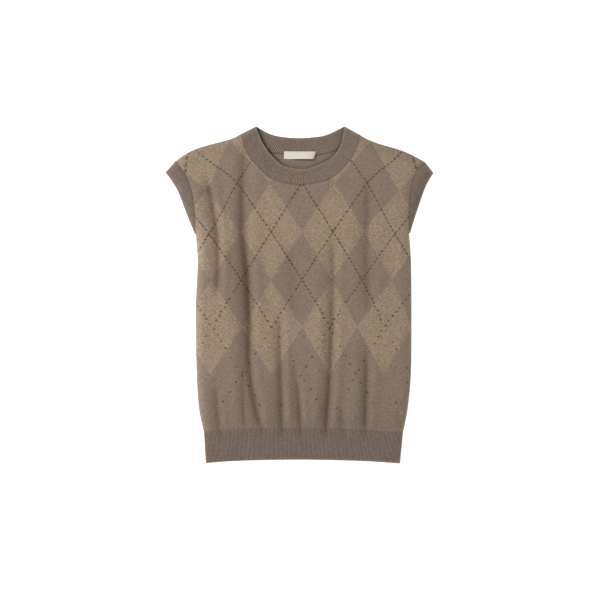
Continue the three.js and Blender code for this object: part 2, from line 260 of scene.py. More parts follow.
# Plain knit: lean of a stitch's arms, shares of its height, its mean, and light lost in its gaps
ARM_LEAN = 1.1
COURSE_RELIEF = 0.3
WALE_RELIEF = 0.4
MEAN_HEIGHT = 0.6
STITCH_SHADE = 0.16
# Rib: share of its height from its courses, light lost in a furrow, and light left there
RIB_COURSE = 0.2
FURROW_SHADE = 0.42
FURROW_LIGHT = 0.71
# Each rib's own tone: how much it varies, how fast from rib to rib, and how fast up a rib
RIB_TONES = 0.45
RIB_CHANGE = 3.7
RIB_DRIFT = 0.11
# Strength and real height of the finest relief
KNIT_BUMP = (0.5, 0.5 * MM)
RIB_BUMP = (0.35, 0.5 * MM)
TAPE_BUMP = (0.3, 0.2 * MM)
WOOL_ROUGHNESS = 0.92
WOOL_SHEEN = 0.2
TAPE_ROUGHNESS = 0.7
TAPE_SHEEN = 0.05
THREAD = 0.5 * MM
# Share by which each yarn's stitches are lighter or darker, and what a pale fleck adds
PLAIN_HEATHER = 0.2
TAUPE_HEATHER = 0.25
SAND_HEATHER = 0.35
RIB_HEATHER = 0.14
SAND_FLECK = 0.12
FLECK_ABOVE = 0.93  # chance over which a stitch is a fleck
# Streaks: how fast they change along a course and from one to the next, their weight against a
# stitch's own tone, and the darkest and palest sum
STREAK_RUN = 0.3
STREAK_APART = 0.73
STREAK_WEIGHT = 1.5
DARKEST, PALEST = 0.45, 2.05
# Patches of hue: how fast they change from stitch to stitch, how much, and from what share
PATCH_CHANGE = 0.23
HUE_SPREAD = 0.28
HUE_LEAST = 0.86

# Distances from a piece's edge at which its grid has extra lines, for rounding
NEAR_EDGE = np.array([0.12, 0.4, 0.85, 1.5, 2.4]) * MM
# Width and height of a body panel and of the label, by which those lines are placed
PANEL_SPAN = (0.4, 0.5)
LABEL_SPAN = (0.06, 0.015)
# Steps of the grids, across and up, and rows of steps of each band at the front and at the back
FRONT_STEPS = (290, 132)
BACK_STEPS = (150, 160)
LABEL_STEPS = (40, 14)
HEM_ROWS = (18, 10)
NECK_ROWS = (16, 16)
ARMHOLE_ROWS = (10, 6)
HEM_COLUMNS = 120  # across the back halves that have no ribs
ARMHOLE_COLUMNS = 60
RIB_STEPS = 6  # across one rib
# How finely the edges' curves are worked out and measured, and shares at which they are used
CURVE_STEPS = 48
LENGTH_STEPS = 200
EDGE_SHARES = np.linspace(0, 1, 60)
POINTS_AT_ONCE = 1500  # whose distances are worked out together, to spare memory

# Ribs round the visible half of each band
HEM_RIBS = 154
NECK_FRONT_RIBS = 104
NECK_BACK_RIBS = 74
ARMHOLE_RIBS = 51
# Ribs are lower at their seam: by what share, and how far from it
RIB_FADE = 0.6
RIB_FADE_REACH = 2 * MM

# Shares of the wall by which a surface falls at a fold, a free edge and a seam
FOLD_DROP = 0.9
EDGE_DROP = 0.4
SEAM_DROP = 0.3
HEM_GROOVE = 0.15  # the hem seam's groove, as a share of the others'
GAP_MOST = 0.3  # most of a band's width that its seam's gap takes
THINNEST = 0.15 * MM

# The label hangs a little off the back at its lower edge, and its cut end at the right is turned
# under: shares of its length from which and over which it turns, and how deep
LABEL_WALL = 0.5 * MM
LABEL_HANG = 2.2 * MM
HANG_OVER = 1.3  # how soon along its length it hangs in full, from its left end
TURN_FROM, TURN_OVER, TURN_DEPTH = 0.91, 0.08, 0.9 * MM
TURN_SHADE = 0.3
# The same for the light that it loses towards that end
END_FROM, END_OVER, END_SHADE = 0.6, 0.3, 0.06

# The stage, in metres, watts and degrees. The floor is so wide that its end doesn't show.
FLOOR_HALF = 30
FLOOR_DROP = 0.3 * MM
FLOOR_GLOW = 0.75
WORLD_GLOW = 0.44
LAMP_SIZE = 2
LAMP_POWER = 101
LAMP_PLACE = (-2.348, 0.906, 2.433)
LAMP_TURN = (-15, -44, 0)
CAMERA_LENS, CAMERA_SENSOR = 85, 36
CAMERA_PLACE = (0.00095, -0.0097, 2.6977)


def linear(colour):
    """The linear colour of an sRGB hex value."""
    parts = np.array([int(colour[n : n + 2], 16) for n in (1, 3, 5)]) / 255
    return tuple(np.where(parts <= 0.04045, parts / 12.92, ((parts + 0.055) / 1.055) ** 2.4))


def ease(value):
    """From 0 to 1 as value goes from 0 to 1, level at both ends: 3v² − 2v³."""
    value = np.clip(value, 0, 1)
    return value * value * (3 - 2 * value)


def through(values, at):
    """The parabola through three values given at 0, 0.5 and 1."""
    first, middle, last = values
    return first * (1 - at) * (1 - 2 * at) + middle * 4 * at * (1 - at) + last * at * (2 * at - 1)


def along(rows, shares=EDGE_SHARES):
    """Points at shares of the length of the smooth curve through rows of millimetres.

    Between rows b and c, with a before and d after them, the curve is
    b + t(c − a)/2 + t²(2a − 5b + 4c − d)/2 + t³(3b − a − 3c + d)/2 for t from 0 to 1, and an end
    row stands in for the one beyond it.
    """
    p = np.asarray(rows, float) * MM
    b, c = p[:-1, None], p[1:, None]
    a, d = np.vstack([p[:1], p[:-2]])[:, None], np.vstack([p[2:], p[-1:]])[:, None]
    t = np.linspace(0, 1, CURVE_STEPS, endpoint=False)[None, :, None]
    curve = b + t * (c - a) / 2
    curve = curve + t**2 * (2 * a - 5 * b + 4 * c - d) / 2 + t**3 * (3 * b - a - 3 * c + d) / 2
    line = np.vstack([curve.reshape(-1, 2), p[-1:]])
    run = np.concatenate([[0], np.cumsum(np.linalg.norm(np.diff(line, axis=0), axis=1))])
    at = np.asarray(shares) * run[-1]
    return np.stack([np.interp(at, run, line[:, 0]), np.interp(at, run, line[:, 1])], axis=-1)


def joined(parts, shares):
    """Points at shares of an edge made of curves end to end, each with the share where it ends."""
    points = np.empty((len(shares), 2))
    start = 0
    for end, rows in parts:
        inside = (shares >= start) & (shares <= end)
        points[inside] = along(rows, (shares[inside] - start) / (end - start))
        start = end
    return points


def length(rows):
    """Length of the smooth curve through rows."""
    line = along(rows, np.linspace(0, 1, LENGTH_STEPS))
    return np.linalg.norm(np.diff(line, axis=0), axis=1).sum()


def stops(count, span, breaks=()):
    """Shares of a grid's lines: even steps, the breaks, and lines close to both ends of span."""
    near = NEAR_EDGE / span
    return np.unique(np.concatenate([np.linspace(0, 1, count + 1), near, 1 - near, breaks]).round(7))


def distance(points, lines):
    """Least distance from each point to a set of lines, each a row of points in plan."""
    starts = np.vstack([line[:-1] for line in lines])
    runs = np.vstack([line[1:] - line[:-1] for line in lines])
    square = np.maximum((runs**2).sum(axis=1), 1e-18)
    flat = points.reshape(-1, 2)
    least = []
    for block in np.array_split(flat, max(len(flat) // POINTS_AT_ONCE, 1)):
        off = block[:, None] - starts
        share = np.clip((off * runs).sum(axis=2) / square, 0, 1)
        least.append(np.linalg.norm(off - share[..., None] * runs, axis=2).min(axis=1))
    return np.concatenate(least).reshape(points.shape[:-1])


OUTLINE = [
    along(rows)
    for rows in (
        HEM_EDGE, SIDE_LEFT, SIDE_RIGHT, ARMHOLE_EDGE_LEFT, ARMHOLE_EDGE_RIGHT,
        SHOULDER_LEFT, SHOULDER_RIGHT,
        [HEM_EDGE[0], HEM_SEAM[0]], [HEM_EDGE[-1], HEM_SEAM[-1]],
        [ARMHOLE_LEFT[-1], ARMHOLE_EDGE_LEFT[-1]], [ARMHOLE_RIGHT[-1], ARMHOLE_EDGE_RIGHT[-1]],
        [NECK_FRONT_SEAM[0], NECK_FRONT_EDGE[0]], [NECK_FRONT_SEAM[-1], NECK_FRONT_EDGE[-1]],
    )
]


def fading(away, reach):
    """Share that is left at a distance from a line: exp(−(away/reach)²)."""
    return np.exp(-((away / reach) ** 2))


def trough_depth(plan, bank=BANK_SHARE, crease=CREASE_SHARE):
    """Depth of all the troughs: fade · depth · (bell − bank), summed.

    The bell is exp(−o²), with a share of it narrowed to a crease, and the bank a share of
    exp(−(o − reach)²), with o the distance off the trough's middle in widths. Depth and middle
    follow their parabolas down the trough.
    """
    x, y = plan[..., 0] / MM, plan[..., 1] / MM
    depth = np.zeros(x.shape)
    for row in TROUGHS:
        at = np.clip((row.top - y) / (row.top - row.bottom), 0, 1)
        fade = ease(0.5 + np.minimum(row.top - y, y - row.bottom) / TROUGH_FADE)
        off = x - through(row.x, at)
        off = np.where(off < 0, -off / row.left, off / row.right)
        bell = (1 - crease) * fading(off, 1) + crease * fading(off, CREASE_WIDTH)
        depth += fade * through(row.depth, at) * (bell - bank * fading(off - BANK_REACH, 1))
    return depth * MM


def ripple(plan, waves):
    """Low uneven waves: the sum of height · sin(2π(across · x + up · y) + phase)."""
    height, across, up, phase = np.array(waves).T
    turn = 2 * np.pi * (plan[..., :1] * across + plan[..., 1:] * up) + phase
    return (height * MM * np.sin(turn)).sum(axis=-1)


def front_top(plan, sizes):
    """Height of the front's plain outer surface.

    It stands on the back and its own wall, and rises inwards from the folded edges by
    1 − (1 − d/roll)² of the loft, less near the neck's free edge and over the hem's rib, dips
    along the troughs and is gathered close to the hem's seam.
    """
    reach = EDGE_ROLL + (LEFT_ROLL - EDGE_ROLL) * ease(-plan[..., 0] / MM / LEFT_SPAN)
    near = np.clip(distance(plan, OUTLINE) / (reach * MM), 0, 1)
    roll = 1 - (1 - near) ** 2
    at_neck = distance(plan, [along(NECK_FRONT_EDGE)]) / (NECK_ROLL * MM)
    neck = NECK_LOFT + (1 - NECK_LOFT) * ease(at_neck)
    hem = HEM_LOFT + (1 - HEM_LOFT) * ease((plan[..., 1] / MM - HEM_TOP) / BLOUSE)
    sewn = distance(plan, [along(ARMHOLE_LEFT), along(ARMHOLE_RIGHT)])
    pulled = SEAM_DIP * MM * fading(sewn, SEAM_DIP_REACH * MM)
    lift = roll * hem * (sizes.loft * neck - trough_depth(plan) - pulled + ripple(plan, RIPPLES))
    seam = along(HEM_SEAM)
    over = (plan[..., 1] - np.interp(plan[..., 0], seam[:, 0], seam[:, 1])) / MM
    drawn = np.exp(-np.where(over > 0, over / GATHER_UP, -over / GATHER_DOWN))
    lift = lift + roll * drawn * ripple(plan, GATHERS)
    return sizes.wall + sizes.gap + sizes.wall + np.maximum(lift, 0)


def fallen(away, reach, drop):
    """Drop of a surface near an edge: a quarter of an ellipse, drop at the edge, 0 from reach on."""
    short = 1 - np.clip(away / reach, 0, 1)
    return drop * (1 - np.sqrt(1 - short**2))


def node(tree, kind, *values, **settings):
    """Adds a node of a kind, with an operation after a space where it has one, and fills it.

    The values go to its inputs in order, or are one mapping from inputs to values. Each is a plain
    value, a link from an output, or a node, which stands for its first output.
    """
    kind, _, operation = kind.partition(" ")
    made = tree.nodes.new(f"ShaderNode{kind}")
    if operation:
        made.operation = operation
    for key, value in settings.items():
        setattr(made, key, value)
    mapped = values and isinstance(values[0], dict)
    for key, value in (values[0].items() if mapped else enumerate(values)):
        if isinstance(value, bpy.types.Node):
            value = value.outputs[0]
        if isinstance(value, bpy.types.NodeSocket):
            tree.links.new(value, made.inputs[key])
        else:
            made.inputs[key].default_value = value
    return made


def scaled(add, colour, factor):
    """A colour times a factor."""
    return add("VectorMath SCALE", {0: colour, "Scale": factor})


def cells(add, wide, high):
    """Place in the knit, counted in cells of a width and a height."""
    return add("VectorMath MULTIPLY", add("UVMap", uv_map="knit"), (1 / wide, 1 / high, 0))


def finish_cloth(add, colour, height, bump, roughness=WOOL_ROUGHNESS, sheen=WOOL_SHEEN):
    """Ends a cloth material: a rough, faintly furry surface, its linked colour darkened by the painted
    shade that the crease attribute holds, and lightened by its painted highlights.

    bump is the strength and the real height of its relief. The painted shade is browner than grey, as
    light that reaches into a crease has met the wool before: least of its red is lost.
    """
    # Painted shade, and painted highlights under 0, kept in the crease attribute
    crease = add("Attribute", attribute_name="crease").outputs["Fac"]
    lost = scaled(add, PAINTED_SHADE_TINT, crease)
    kept = add("VectorMath SUBTRACT", (1, 1, 1), lost)
    colour = add("VectorMath MULTIPLY", colour, kept)
    strength, real = bump
    relief = add("Bump", {"Strength": strength, "Distance": real, "Height": height})
    cloth = add("BsdfPrincipled", {
        "Base Color": colour,
        "Normal": relief,
        "Roughness": roughness,
        "IOR": 1.45,
        "Specular IOR Level": 0.25,
        "Sheen Weight": sheen,
        "Sheen Roughness": 0.5,
    })
    add("OutputMaterial", {"Surface": cloth})


def stitches(add, sizes):
    """Height of plain knit from 0 to 1, and the cell that a stitch takes.

    Wales are a stitch wide and courses a stitch high. In each wale two arms lean out and up from
    its middle, so that the courses read as rows of Vs.
    """
    cell = cells(add, sizes.stitch_width, sizes.stitch_height)
    across, up = add("SeparateXYZ", cell).outputs[:2]
    arm = add("Math PINGPONG", across, 0.5)
    lean = add("Math MULTIPLY_ADD", arm, ARM_LEAN, up)
    turn = add("Math MULTIPLY", lean, math.tau)
    course = add("Math COSINE", turn)
    half = add("Math MULTIPLY", arm, math.tau)
    bulge = add("Math SINE", half)
    low = add("Math MULTIPLY_ADD", course, COURSE_RELIEF, COURSE_RELIEF)
    height = add("Math MULTIPLY_ADD", bulge, WALE_RELIEF, low)
    return height, cell


def shaded_stitches(add, colour, height):
    """A colour with painted shade in the gaps between stitches: times 1 + shade · (height − its mean)."""
    rest = 1 - STITCH_SHADE * MEAN_HEIGHT
    factor = add("Math MULTIPLY_ADD", height, STITCH_SHADE, rest)
    return scaled(add, colour, factor)


def heathered(add, place, colour, amount, fleck=0):
    """A colour varied as mixed fibres vary it: by stitch, in streaks along courses, and in hue.

    Each stitch has a tone of its own, each course its own streaks a few stitches long, broad soft
    patches lean to red or to green, and the palest stitches are flecks of bare cream wool.
    """
    own = add("VectorMath FLOOR", place)
    grain = add("TexWhiteNoise", {"Vector": own}, noise_dimensions="2D")
    across, up = add("SeparateXYZ", place).outputs[:2]
    course = add("Math FLOOR", up)
    run = add("Math MULTIPLY", across, STREAK_RUN)
    apart = add("Math MULTIPLY", course, STREAK_APART)
    strand = add("CombineXYZ", run, apart)
    streak = add("TexNoise", {"Vector": strand, "Scale": 1, "Detail": 1}, noise_dimensions="2D")
    both = add("Math MULTIPLY_ADD", streak, STREAK_WEIGHT, grain)
    tone = add("MapRange", {
        "Value": both, "From Min": DARKEST, "From Max": PALEST,
        "To Min": 1 - amount, "To Max": 1 + amount,
    }, clamp=False)
    pale = add("Math GREATER_THAN", grain, FLECK_ABOVE)
    tone = add("Math MULTIPLY_ADD", pale, fleck, tone)
    dye = add("TexNoise", {
        "Vector": place, "Scale": PATCH_CHANGE, "Detail": 3, "Roughness": 0.75,
    }, noise_dimensions="2D").outputs[1]
    hue = add("VectorMath MULTIPLY_ADD", dye, (HUE_SPREAD,) * 3, (HUE_LEAST,) * 3)
    tinted = add("VectorMath MULTIPLY", hue, colour)
    return scaled(add, tinted, tone)


def plain_wool(add, sizes, colours):
    """Fine merino in plain knit, one colour: matt, with rows of small Vs and mixed fibres."""
    height, cell = stitches(add, sizes)
    wool = heathered(add, cell, (*colours.taupe,), PLAIN_HEATHER)
    finish_cloth(add, shaded_stitches(add, wool, height), height, KNIT_BUMP)


def diamond_wool(add, sizes, colours):
    """Fine merino knitted in diamonds of two shades, with thin broken lines of a dark yarn.

    The mesh's attribute gives each point's place in the pattern: x and y count the diamonds along
    the two slanting directions, and z the dashes.
    """
    height, cell = stitches(add, sizes)
    # Each stitch has one colour: the pattern is read at its own stitch's middle
    place = add("Attribute", attribute_name="diamond").outputs["Vector"]
    share = (sizes.stitch_width / STEP_WIDTH / 2, sizes.stitch_height / STEP_HEIGHT / 2, 0)
    aside = add("VectorMath FRACTION", cell)
    aside = add("VectorMath ADD", aside, (-0.5, -0.5, 0))
    aside = add("VectorMath MULTIPLY", aside, share)
    across, up = add("SeparateXYZ", aside).outputs[:2]
    rise = add("Math ADD", across, up)
    fall = add("Math SUBTRACT", across, up)
    back = add("CombineXYZ", rise, fall)
    place = add("VectorMath SUBTRACT", place, back)
    first, second, dash = add("SeparateXYZ", place).outputs
    # Light where the two counts, rounded down, add up to an even number, down to the last such row
    steps = [add("Math FLOOR", way) for way in (first, second)]
    total = add("Math ADD", steps[0], steps[1])
    odd = add("Math PINGPONG", total, 1)
    row = add("Math SUBTRACT", first, second)
    high = add("Math GREATER_THAN", row, LIGHT_END)
    light = add("Math LESS_THAN", odd, 0.5)
    light = add("Math MULTIPLY", light, high)
    # Thin lines half way between the diamonds' corners. Going down they turn from dashes into
    # small dots, which stray to either side and are missing in places.
    sparse = add("MapRange", {"Value": row, "From Min": DOTS_BEGIN, "From Max": DASHES_END})
    duty = add("Math MULTIPLY_ADD", sparse, -DOT_LESS, DASH_SHARE)
    lone = add("MapRange", {
        "Value": row, "From Min": DASHES_END, "From Max": DOTS_SMALL, "To Max": SMALL_DOT_LESS,
    })
    duty = add("Math SUBTRACT", duty, lone)
    marks = []
    for way, step in ((first, steps[0]), (second, steps[1])):
        # Each line counts its dashes from a start of its own
        start = add("Math MULTIPLY_ADD", step, LINE_START, dash)
        start = add("Math ADD", start, 0.5 * len(marks))
        beat = add("Math FRACT", start)
        count = add("Math FLOOR", start)
        name = add("CombineXYZ", step, count, len(marks))
        chance = add("TexWhiteNoise", {"Vector": name}, noise_dimensions="3D")
        stray = add("Math ADD", chance, -0.5)
        stray = add("Math MULTIPLY", stray, sparse)
        way = add("Math MULTIPLY_ADD", stray, DOT_STRAY, way)
        middle = add("Math PINGPONG", way, 0.5)
        aside = add("Math SUBTRACT", 0.5, middle)
        wide = add("Math MULTIPLY_ADD", sparse, DOT_WIDER * LINE_HALF, LINE_HALF)
        aside = add("Math DIVIDE", aside, wide)
        long, lost = add("SeparateXYZ", chance.outputs[1]).outputs[1:]
        long = add("Math MULTIPLY_ADD", long, DASH_SPREAD, duty)
        long = add("Math SUBTRACT", long, DASH_SPREAD / 2)
        part = add("Math DIVIDE", beat, long)
        on = add("Math LESS_THAN", part, 1)
        # A dash is straight-sided and a dot round: (aside)² + sparse · (2 · part − 1)² under 1
        far = add("Math MULTIPLY_ADD", part, 2, -1)
        far = add("Math MULTIPLY", far, far)
        far = add("Math MULTIPLY", far, sparse)
        far = add("Math MULTIPLY_ADD", aside, aside, far)
        line = add("Math LESS_THAN", far, 1)
        gone = add("Math MULTIPLY", sparse, DOTS_MISSING)
        kept = add("Math GREATER_THAN", lost, gone)
        on = add("Math MULTIPLY", on, kept)
        marks.append(add("Math MULTIPLY", line, on))
    dark = add("Math MAXIMUM", marks[0], marks[1])
    reach = add("Math GREATER_THAN", row, DOTS_END)
    dark = add("Math MULTIPLY", dark, reach)
    # The dots are thinner than the dashes and hide less of the wool
    cover = add("Math MULTIPLY_ADD", sparse, -DOT_THINNER, 1)
    dark = add("Math MULTIPLY", dark, cover)
    taupe = heathered(add, cell, (*colours.taupe,), TAUPE_HEATHER)
    sand = heathered(add, cell, (*colours.sand,), SAND_HEATHER, SAND_FLECK)
    wool = add("Mix", {"Factor": light, 6: taupe, 7: sand}, data_type="RGBA")
    yarn = add("Mix", {"Factor": dark, 6: wool.outputs[2], 7: (*colours.dash, 1)}, data_type="RGBA")
    finish_cloth(add, shaded_stitches(add, yarn.outputs[2], height), height, KNIT_BUMP)


def rib_wool(add, sizes, colours):
    """The same merino in one-by-one rib: matt, with painted shade in the furrow between each two wales.

    The piece's own map counts the ribs along its band, one to each rib pitch.
    """
    cell = cells(add, sizes.rib_pitch, sizes.stitch_height)
    across, up = add("SeparateXYZ", cell).outputs[:2]
    turn = add("Math MULTIPLY", across, math.tau)
    wave = add("Math COSINE", turn)
    crest = add("Math MULTIPLY_ADD", wave, -0.5, 0.5)
    climb = add("Math MULTIPLY", up, math.tau)
    course = add("Math COSINE", climb)
    height = add("Math MULTIPLY_ADD", course, RIB_COURSE, crest)
    rib = add("Math FLOOR", across)
    drift = add("Math MULTIPLY", up, RIB_DRIFT)
    strand = add("CombineXYZ", rib, drift)
    own = add("TexNoise", {"Vector": strand, "Scale": RIB_CHANGE, "Detail": 1}, noise_dimensions="2D")
    own = add("Math MULTIPLY_ADD", own, RIB_TONES, -RIB_TONES / 2)
    # Painted shade in the furrows, with each rib's own tone
    shade = add("Math MULTIPLY_ADD", crest, FURROW_SHADE, own)
    shade = add("Math ADD", shade, FURROW_LIGHT)
    wool = heathered(add, cell, (*colours.rib,), RIB_HEATHER)
    finish_cloth(add, scaled(add, wool, shade), height, RIB_BUMP)


def label_tape(add, colours):
    """Woven cotton tape, left bare: cream and close, with fine threads along and across it."""
    cell = cells(add, THREAD, THREAD)
    weave = add("TexWave", {"Vector": cell, "Scale": 0.5, "Distortion": 0.6}).outputs[1]
    tone = add("MapRange", {"Value": weave, "To Min": 0.93, "To Max": 1.03})
    colour = scaled(add, (*colours.label,), tone)
    finish_cloth(add, colour, weave, TAPE_BUMP, TAPE_ROUGHNESS, TAPE_SHEEN)


def white_card(add):
    """Matt white card, which shows the vest's soft shadow and has no gloss."""
    card = add("BsdfPrincipled", {
        "Base Color": (*linear("#f4f4f3"), 1),
        "Roughness": 0.9,
        "Specular IOR Level": 0,
        "Emission Color": (1, 1, 1, 1),
        "Emission Strength": FLOOR_GLOW,
    })
    add("OutputMaterial", {"Surface": card})


def material(name, fill, *given):
    """The material of that name. The first time that it is asked for, fill adds its nodes.

    fill gets the node function with the material's tree already given.
    """
    made = bpy.data.materials.get(name)
    if made is None:
        made = bpy.data.materials.new(name)
        made.use_nodes = True
        made.node_tree.nodes.clear()
        fill(partial(node, made.node_tree), *given)
    return made


def shell(name, plan, top, low, mapped, shade, diamond=None):
    """A closed wall between an upper and a lower surface on one grid, with a rim all round.

    The grid's rows run up and its columns across. mapped is each point's place in its knit, shade
    the share of light that its upper side loses, and diamond its place in the pattern.
    """
    rows, columns = plan.shape[:2]
    count = rows * columns
    points = np.vstack([np.dstack([plan, side]).reshape(-1, 3) for side in (top, low)])
    index = np.arange(count).reshape(rows, columns)
    corners = (index[:-1, :-1], index[:-1, 1:], index[1:, 1:], index[1:, :-1])
    upper = np.stack(corners, axis=-1).reshape(-1, 4)
    ring = np.concatenate([index[0, :-1], index[:-1, -1], index[-1, :0:-1], index[:0:-1, 0]])
    after = np.roll(ring, -1)
    rim = np.stack([ring + count, after + count, after, ring], axis=-1)
    faces = np.vstack([upper, upper[:, ::-1] + count, rim])
    across, up = plan[0, 1] - plan[0, 0], plan[1, 0] - plan[0, 0]
    if across[0] * up[1] - across[1] * up[0] < 0:
        faces = faces[:, ::-1]
    mesh = bpy.data.meshes.new(name)
    mesh.from_pydata(points.tolist(), [], faces.tolist())
    mesh.shade_smooth()
    at = np.tile(mapped.reshape(-1, 2), (2, 1))
    mesh.uv_layers.new(name="knit").data.foreach_set("uv", at[faces.ravel()].ravel())
    if diamond is not None:
        places = np.tile(diamond.reshape(-1, 3), (2, 1)).ravel()
        mesh.attributes.new("diamond", "FLOAT_VECTOR", "POINT").data.foreach_set("vector", places)
    # Painted shade and painted highlights of the upper side, as the crease attribute; the lower side has
    # none
    lost = np.concatenate([shade.ravel(), np.zeros(count)])
    mesh.attributes.new("crease", "FLOAT", "POINT").data.foreach_set("value", lost)
    piece = bpy.data.objects.new(name, mesh)
    bpy.context.scene.collection.objects.link(piece)
    return piece


def crease_shade(plan):
    """Painted shade in the creases: the troughs' depth, banks apart, times a factor."""
    return np.clip(trough_depth(plan, 0, SHADE_CREASE) / MM * TROUGH_SHADE, 0, MOST_SHADE)


def line_shade(plan, line, reach, amount):
    """Painted shade beside a line (painted highlight for amount under 0): amount · exp(−(d/reach)²)."""
    return amount * fading(distance(plan, [line]), reach)


def neck_shade(plan):
    """Painted shade under the front neckband's edge: far all along it, near at its sides."""
    edge = along(NECK_FRONT_EDGE)
    sides = ease(np.abs(plan[..., 0]) / NECK_SIDES)
    close = line_shade(plan, edge, NECK_LINE_REACH, NECK_LINE_SHADE)
    return line_shade(plan, edge, NECK_SHADE_REACH, NECK_SHADE) + sides * close


def settle(piece, replaced, finish):
    """Gives a piece its finish and its body, and hides the CAD part that it stands in for."""
    piece.data.materials.append(finish)
    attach(piece, "root")
    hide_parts(replaced)


def body_panel(neck_seam, steps):
    """Grid of a body panel, and the distances of its points from its folds and its grooved seams.

    Straight columns run from the hem seam to the shoulders and neck seam. Near each side they
    bend by what the side edge departs from its chord, times the eighth power of the share across.
    """
    u = stops(steps[0], PANEL_SPAN[0], (NECK_STARTS, NECK_ENDS))
    v = stops(steps[1], PANEL_SPAN[1], (ARMHOLE_STARTS,))
    bottom = along(HEM_SEAM, u)
    top = joined([(NECK_STARTS, SHOULDER_LEFT), (NECK_ENDS, neck_seam), (1, SHOULDER_RIGHT)], u)
    left = joined([(ARMHOLE_STARTS, SIDE_LEFT), (1, ARMHOLE_LEFT)], v)
    right = joined([(ARMHOLE_STARTS, SIDE_RIGHT), (1, ARMHOLE_RIGHT)], v)
    share, rise = u[None, :, None], v[:, None, None]
    plan = (1 - rise) * bottom[None] + rise * top[None]
    for edge, hold in ((left, (1 - share) ** SIDE_HOLD), (right, share**SIDE_HOLD)):
        chord = (1 - rise) * edge[0] + rise * edge[-1]
        plan = plan + hold * (edge[:, None] - chord)
    folds = [along(rows) for rows in (SIDE_LEFT, SIDE_RIGHT, SHOULDER_LEFT, SHOULDER_RIGHT)]
    seams = [along(rows) for rows in (ARMHOLE_LEFT, ARMHOLE_RIGHT, neck_seam)]
    return plan, distance(plan, folds), distance(plan, seams)


def band(seam, edge, columns, rows, sizes):
    """Grid of a band from just off its seam to its free edge, and its distances from both.

    Shares of the seam's length are joined by straight lines to the same shares of the edge's.
    """
    u = stops(columns, length(seam))
    start, end = along(seam, u), along(edge, u)
    wide = np.linalg.norm(end - start, axis=1)
    start = start + (end - start) * np.minimum(sizes.seam / wide, GAP_MOST)[:, None]
    v = stops(rows, wide.max())
    plan = start[None] + (end - start)[None] * v[:, None, None]
    across = np.linalg.norm(end - start, axis=1)[None] * v[:, None]
    beyond = np.linalg.norm(end - start, axis=1)[None] * (1 - v[:, None])
    ends = [np.stack([start[n], end[n]]) for n in (0, -1)]
    return plan, u, across, beyond, distance(plan, ends)


def rib_count(u, ribs, plan):
    """Ribs from the band's start to each point, which waver a little: ribs · u + waves."""
    return ribs * u[None] + ripple(plan, WAVER) / MM


def rib_height(count, sizes):
    """Height of one-by-one rib over its mean: half the rib's height times −cos(2π · count)."""
    return -sizes.rib_height / 2 * np.cos(2 * np.pi * count)


def band_map(count, across, sizes):
    """Place in the knit: a rib pitch for each rib along the band, and the distance across it."""
    return np.stack([count * sizes.rib_pitch, across], axis=-1)


def front_band(name, seam, edge, ribs, rows, replaced, sizes, colours,
               light=RIM_LIGHT, groove=1):
    """The half of a band that shows on the front: ribs over a plain inside.

    light is the painted highlight at its free edge, and groove is how deep its seam lies, as a share
    of an edge's rounding.
    """
    plan, u, across, beyond, to_fold = band(seam, edge, ribs * RIB_STEPS, rows, sizes)
    base = front_top(plan, sizes)
    end = fallen(beyond, sizes.edge_radius, sizes.wall * EDGE_DROP)
    sewn = fallen(across, sizes.edge_radius * groove, sizes.wall * SEAM_DROP * groove)
    folded = fallen(to_fold, sizes.fold_radius, sizes.wall * FOLD_DROP)
    falling = np.maximum(folded, np.maximum(end, sewn))
    count = rib_count(u, ribs, plan)
    raised = rib_height(count, sizes) * (1 - RIB_FADE * np.exp(-across / RIB_FADE_REACH))
    top = base + raised - falling
    low = np.minimum(base - sizes.wall + end, top - THINNEST)
    # Painted shade in the creases and the seam, painted highlights at the free edge and the folds
    shade = crease_shade(plan) + groove * SEAM_SHADE * fading(across, SEAM_REACH)
    shade = shade - light * fading(beyond, RIM_REACH) - RIM_LIGHT * fading(to_fold, RIM_REACH)
    piece = shell(name, plan, top, low, band_map(count, across, sizes), shade)
    finish = material("merino_rib_knit", rib_wool, sizes, colours)
    settle(piece, replaced, finish)


def back_band(name, seam, edge, ribs, steps, rows, replaced, sizes, colours, raised=False):
    """The half of a band that rests on the surface. Its inside has ribs where the neck shows it."""
    plan, u, across, beyond, to_fold = band(seam, edge, steps, rows, sizes)
    end = fallen(beyond, sizes.edge_radius, sizes.wall * EDGE_DROP)
    low = np.maximum(fallen(to_fold, sizes.fold_radius, sizes.wall * FOLD_DROP), end)
    sewn = fallen(across, sizes.edge_radius, sizes.wall * SEAM_DROP)
    top = sizes.wall - np.maximum(end, sewn)
    count = rib_count(u, ribs, plan)
    if raised:
        top = top + rib_height(count, sizes) - sizes.rib_height / 2
    top = np.maximum(np.broadcast_to(top, low.shape), low + THINNEST)
    # Painted shade at the seam and under the neck's front edge, painted highlight at the free edge
    shade = SEAM_SHADE * fading(across, SEAM_REACH) + neck_shade(plan)
    shade = shade - RIM_LIGHT * fading(beyond, RIM_REACH)
    piece = shell(name, plan, top, low, band_map(count, across, sizes), shade)
    finish = material("merino_rib_knit", rib_wool, sizes, colours)
    settle(piece, replaced, finish)


